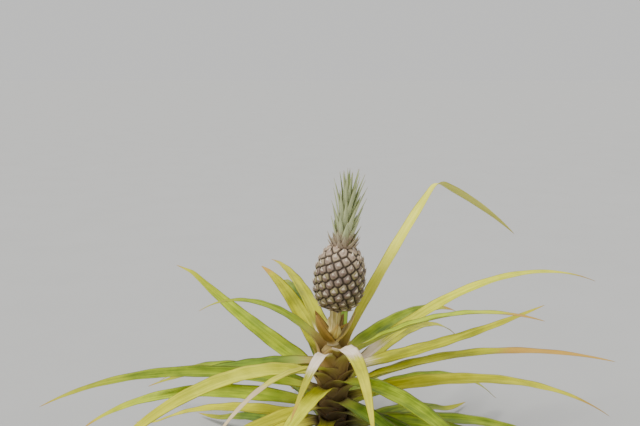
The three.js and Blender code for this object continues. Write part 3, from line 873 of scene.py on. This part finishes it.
def add_eye_scale(shape, n, eye):
    """The pointed scale that covers an eye's lower half, its dry tip turned up and off the skin. Its
    metres are the eye's share of the fruit's height."""
    grown = lerp(1.15, 0.8, eye.share) * (1 + 0.08 * signed(n, 42))
    reach = SCALE_LENGTH + SCALE_TOP_LENGTH * smooth(eye.share, 0.78, 0.98)
    lean = SCALE_LEAN * signed(n, 43)
    rings = []
    for r in range(SCALE_ROWS):
        up = r / SCALE_ROWS
        half = SCALE_HALF_WIDTH * grown * (1 - up ** 1.6) ** 0.85 * lerp(0.86, 1, smooth(up, 0, 0.2))
        outer, inner = [], []
        for q in range(SCALE_POINTS):
            across = 2 * q / (SCALE_POINTS - 1) - 1
            lift = SCALE_GAP + SCALE_BULGE * smooth(up, 0, 0.5) + SCALE_TIP_LIFT * grown * up ** 2.2
            lift -= SCALE_EDGE_DROP * across ** 2
            lift += SCALE_KEEL * (1 - abs(across)) ** 2 * math.sin(math.pi * up)
            side = across * half + lean * up ** 2
            high = (-SCALE_FOOT + reach * up) * grown + SCALE_EDGE_RISE * across ** 2 * (1 - up)
            rim = SCALE_HALF_THICK * (1 - 0.6 * across ** 4) * lerp(1, 0.5, up)
            values = dict(along=up, across=across, metres=eye.share)
            outer.append((eye.at(side, high, lift + rim), values))
            inner.append((eye.at(side, high, lift - rim), values))
        rings.append(outer + inner[::-1])
    high = (reach - SCALE_FOOT) * grown + SCALE_POINT_LENGTH
    tip = eye.at(lean, high, SCALE_POINT_LIFT * grown + 0.0008)
    rings.append([(tip, dict(along=1.0, metres=eye.share))])
    add_tube(shape, rings, seed=unit(n, 44), dry=unit(n, 45))


def add_floret(shape, n, eye):
    """What is left of an eye's flower, withered in its pit."""
    bent = FLORET_BEND * signed(n, 46)
    rings = []
    for r in range(FLORET_ROWS):
        up = r / FLORET_ROWS
        ring = []
        for turn in turns_round(FLORET_SIDES):
            radius = FLORET_RADIUS * (1 - 0.7 * up) * (1 + 0.35 * math.sin(3 * turn + n))
            at = eye.at(radius * math.cos(turn) + bent * up,
                        FLORET_RISE + radius * math.sin(turn) + 0.001 * up, -0.0002 + FLORET_HEIGHT * up)
            ring.append((at, dict(along=up)))
        rings.append(ring)
    rings.append([(eye.at(bent, 2 * FLORET_RISE, FLORET_HEIGHT), dict(along=1.0))])
    add_tube(shape, rings)


def skin_material():
    f = Finish("rind", specular=0.35)
    off, inward, height = f.value("along"), f.value("across"), f.value("metres")
    specks = f.noise(f.place(), 420.0)
    patches = f.noise(f.place(), 28.0)
    tone = f.plus(f.times(f.value("seed"), 0.5), f.times(patches, 0.6))
    face = f.ramp(tone, (0.3, colour(112, 96, 92)), (0.5, colour(136, 118, 104)),
                  (0.72, colour(150, 140, 96)))
    face = f.coat(face, colour(198, 176, 154), f.step(height, 0.55, 0.95), 0.7)
    # painted shade: the rind darker towards the bottom of the fruit
    face = f.coat(face, colour(92, 80, 58), f.step(height, 0.50, 0.10), 0.4)
    face = f.coat(face, colour(160, 148, 120), f.step(specks, 0.5, 0.68), 0.45)
    face = f.mix(f.step(off, 0.34, 0.12), face, colour(78, 60, 50))
    # painted shade: dark in the grooves between the eyes
    base = f.mix(f.step(inward, 0.75, 0.1), face, colour(58, 46, 34))
    return f.finish(base, f.times_plus(specks, 0.3, 0.42), (specks, 0.35, 0.0006), (patches, 0.2, 0.001))


def scale_material():
    f = Finish("eye_scale", specular=0.3)
    fine = streaks(f, 7.0)
    up, height = f.value("along"), f.value("metres")
    base = f.mix(f.step(up, 0.0, 0.5), colour(104, 92, 72), colour(132, 108, 104))
    base = f.coat(base, colour(160, 138, 122), f.step(fine, 0.45, 0.7), 0.5)
    base = f.coat(base, colour(194, 170, 150), f.step(height, 0.6, 0.95), 0.6)
    # painted shade: the scales darker towards the bottom of the fruit
    base = f.coat(base, colour(88, 76, 54), f.step(height, 0.50, 0.10), 0.4)
    pale = f.step(f.plus(up, f.times(f.value("dry"), 0.2)), 0.56, 0.82)
    base = f.mix(pale, base, f.mix(fine, colour(190, 172, 150), colour(236, 226, 210)))
    return f.finish(base, f.times_plus(fine, 0.2, 0.5), (fine, 0.5, 0.0005))


def floret_material():
    f = Finish("floret", specular=0.15)
    grain = f.noise(f.place(), 600.0, detail=2.0)
    base = f.mix(f.value("along"), colour(64, 46, 38), colour(150, 122, 96))
    base = f.mix(f.step(grain, 0.5, 0.7), base, colour(96, 70, 54))
    return f.finish(base, 0.85, (grain, 0.5, 0.0005))


def place_piece(shape, name, material, place):
    piece = shape.make(name, material)
    piece.data.transform(place)
    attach(piece, "root")
    return piece


skin_shape, scale_shape, floret_shape = Shape(), Shape(), Shape()
add_skin(skin_shape)
for n, eye in enumerate(eyes):
    add_eye_scale(scale_shape, n, eye)
    add_floret(floret_shape, n, eye)
rind = place_piece(skin_shape, "fruit_rind", skin_material(), FRUIT_PLACE)
place_piece(scale_shape, "fruit_eye_scales", scale_material(), FRUIT_PLACE)
place_piece(floret_shape, "fruit_florets", floret_material(), FRUIT_PLACE)
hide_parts("fruit")


# Crown: leaves on a core, and a skirt of short leaves between it and the fruit's top

CROWN_CORE_SIDES = 32
CROWN_CORE_PROFILE = [(1.0, 0.0), (0.9, 0.35), (0.55, 0.8), (0.25, 1.0)]   # shares of its radius and height
CROWN_CORE_INSET = 0.97
CROWN_TIP_RADIUS = 0.004
CROWN_LEAF_LEVELS = 0.002, CROWN_CORE_HEIGHT - 0.014
CROWN_LEAF_LENGTHS = 0.046, 0.116
CROWN_LEAST_HUG = 0.008    # radius
SKIRT_LEAF_COUNT = 18
SKIRT_FIRST_AZIMUTH = 60
SKIRT_LEAF_WIDTH = 0.016
SKIRT_LEAF_THICKNESS = 0.0014
# Of the outermost leaf of the skirt and of the innermost
SKIRT_RADII = 0.026, 0.020
SKIRT_LEVELS = -0.0015, 0.002
SKIRT_LENGTHS = 0.022, 0.040
SKIRT_RISES = 40, 62
SKIRT_DROOPS = -30, -14
SKIRT_AGE = 1.2            # older than any leaf of the crown, whose ages run from 1 to 0


def add_crown_core(shape):
    rings = []
    for radius, height in CROWN_CORE_PROFILE:
        ring = []
        for turn in turns_round(CROWN_CORE_SIDES):
            wide = CROWN_CORE_RADIUS * radius * CROWN_CORE_INSET
            values = dict(along=height, across=math.cos(turn), metres=height * CROWN_CORE_HEIGHT)
            ring.append((around(turn, wide, CROWN_CORE_HEIGHT * height), values))
        rings.append(ring)
    add_tube(shape, rings, under=1.0, seed=0.5)


def add_crown_leaf(shape, n):
    youth = n / (CROWN_LEAF_COUNT - 1)
    azimuth = n * GOLDEN_ANGLE
    core = lerp(CROWN_CORE_RADIUS, CROWN_TIP_RADIUS, youth)
    start = around(math.radians(azimuth), 0.85 * core, lerp(*CROWN_LEAF_LEVELS, youth))
    length = lerp(*CROWN_LEAF_LENGTHS, math.sin(math.pi * lerp(0.04, 0.72, youth)))
    add_small_blade(
        shape, start, azimuth, rise=lerp(66, 86, youth ** 0.6) + 3 * signed(n, 21),
        droop=lerp(-4, 12, math.sin(math.pi * youth)) + 4 * signed(n, 22),
        length=length * (1 + 0.08 * signed(n, 23)), width=CROWN_LEAF_WIDTH * lerp(1.2, 0.75, youth),
        hug=1.0, hug_radius=max(CROWN_LEAST_HUG, core), steps=26, points=9, twist=0.35 * signed(n, 24),
        cup=0.5, narrow=1.5, seed=unit(n, 25), dry=1 - youth)


def add_skirt_leaf(shape, n):
    inner = n / SKIRT_LEAF_COUNT
    azimuth = n * GOLDEN_ANGLE + SKIRT_FIRST_AZIMUTH
    out = lerp(*SKIRT_RADII, inner)
    add_small_blade(
        shape, around(math.radians(azimuth), out, lerp(*SKIRT_LEVELS, inner)), azimuth,
        rise=lerp(*SKIRT_RISES, inner) + 6 * signed(n, 51), droop=lerp(*SKIRT_DROOPS, inner),
        length=lerp(*SKIRT_LENGTHS, inner) * (1 + 0.1 * signed(n, 52)), width=SKIRT_LEAF_WIDTH,
        hug=0.8, hug_radius=out, thickness=SKIRT_LEAF_THICKNESS, steps=14, seed=unit(n, 53),
        dry=SKIRT_AGE)


def crown_material():
    """Grey-green leaves with a pale bloom below and brownish feet. Here dry is a leaf's age."""
    f = Finish("crown", specular=0.35)
    fine, broad = streaks(f, 7.0), streaks(f, 2.0)
    age = f.value("dry")
    patches = f.noise(f.place(), 60.0)
    shade = f.plus(f.times(broad, 0.6), f.times(patches, 0.5))
    base = f.mix(f.step(shade, 0.4, 0.72), colour(130, 146, 94), colour(180, 190, 128))
    base = f.coat(base, colour(202, 208, 156), f.step(fine, 0.5, 0.7), 0.5)
    bloom = f.times(f.step(f.value("under"), 0.5, 1.0), f.times_plus(fine, 0.5, 0.35))
    base = f.mix(bloom, base, colour(204, 210, 170))
    foot = f.times(f.step(f.value("metres"), 0.034, 0.006), f.step(age, 0.35, 0.9))
    base = f.mix(foot, base, colour(184, 164, 140))
    base = f.coat(base, colour(172, 154, 134), f.step(age, 0.95, 1.2), 0.75)
    base = f.mix(f.step(f.value("along"), 0.93, 1.0), base, colour(150, 112, 78))
    rim = f.step(f.math("ABSOLUTE", f.value("across")), 0.88, 1.0)
    base = f.coat(base, colour(160, 122, 96), rim, 0.35)
    return f.finish(base, f.times_plus(patches, 0.25, 0.4), (fine, 0.4, 0.0006))


crown_shape = Shape()
add_crown_core(crown_shape)
for n in range(SKIRT_LEAF_COUNT):
    add_skirt_leaf(crown_shape, n)
for n in range(CROWN_LEAF_COUNT):
    add_crown_leaf(crown_shape, n)
crown_piece = place_piece(crown_shape, "crown_leaves", crown_material(), CROWN_PLACE)
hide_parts("crown")


# Camera, floor and light

CAMERA_PLACE = (-0.030, -1.790, 1.017)
CAMERA_PITCH = 10.8        # degrees below level
CAMERA_LENS = 45           # mm
CAMERA_SENSOR = 36         # mm
CAMERA_NEAR = 0.05
FLOOR_HALF = 40.0
WORLD_COLOUR = (0.82, 0.82, 0.81, 1)
WORLD_STRENGTH = 0.92

camera_data = bpy.data.cameras.new("photo_camera")
camera_data.lens = CAMERA_LENS
camera_data.sensor_width = CAMERA_SENSOR
camera_data.clip_start = CAMERA_NEAR
camera = bpy.data.objects.new("photo_camera", camera_data)
camera.location = CAMERA_PLACE
camera.rotation_euler = (math.radians(90 - CAMERA_PITCH), 0, 0)
bpy.context.scene.collection.objects.link(camera)
bpy.context.scene.camera = camera


def floor_material():
    f = Finish("floor", specular=0.2)
    grain = f.noise(f.place(), 3.0, detail=2.0)
    return f.finish(f.mix(grain, colour(175, 176, 177), colour(181, 182, 183)), 0.9)


floor_shape = Shape()
corners = [(-FLOOR_HALF, -FLOOR_HALF, 0), (FLOOR_HALF, -FLOOR_HALF, 0),
           (FLOOR_HALF, FLOOR_HALF, 0), (-FLOOR_HALF, FLOOR_HALF, 0)]
floor_shape.faces.append(tuple(floor_shape.point(corner) for corner in corners))
floor = floor_shape.make("floor", floor_material())


def add_sun(name, place, strength, width, tint):
    """A far soft light that shines from the direction of place, as many degrees wide as width says."""
    data = bpy.data.lights.new(name, "SUN")
    data.energy = strength
    data.angle = math.radians(width)
    data.color = tint
    light = bpy.data.objects.new(name, data)
    light.rotation_euler = (-Vector(place)).to_track_quat("-Z", "Y").to_euler()
    bpy.context.scene.collection.objects.link(light)


add_sun("key_light", place=(-1.2, -1.0, 2.4), strength=3.0, width=20, tint=(1.0, 0.97, 0.90))
add_sun("back_light", place=(1.0, 2.0, 2.2), strength=0.6, width=30, tint=(1.0, 0.98, 0.94))

world = bpy.data.worlds.new("studio")
world.use_nodes = True
background = world.node_tree.nodes["Background"]
background.inputs["Color"].default_value = WORLD_COLOUR
background.inputs["Strength"].default_value = WORLD_STRENGTH
bpy.context.scene.world = world
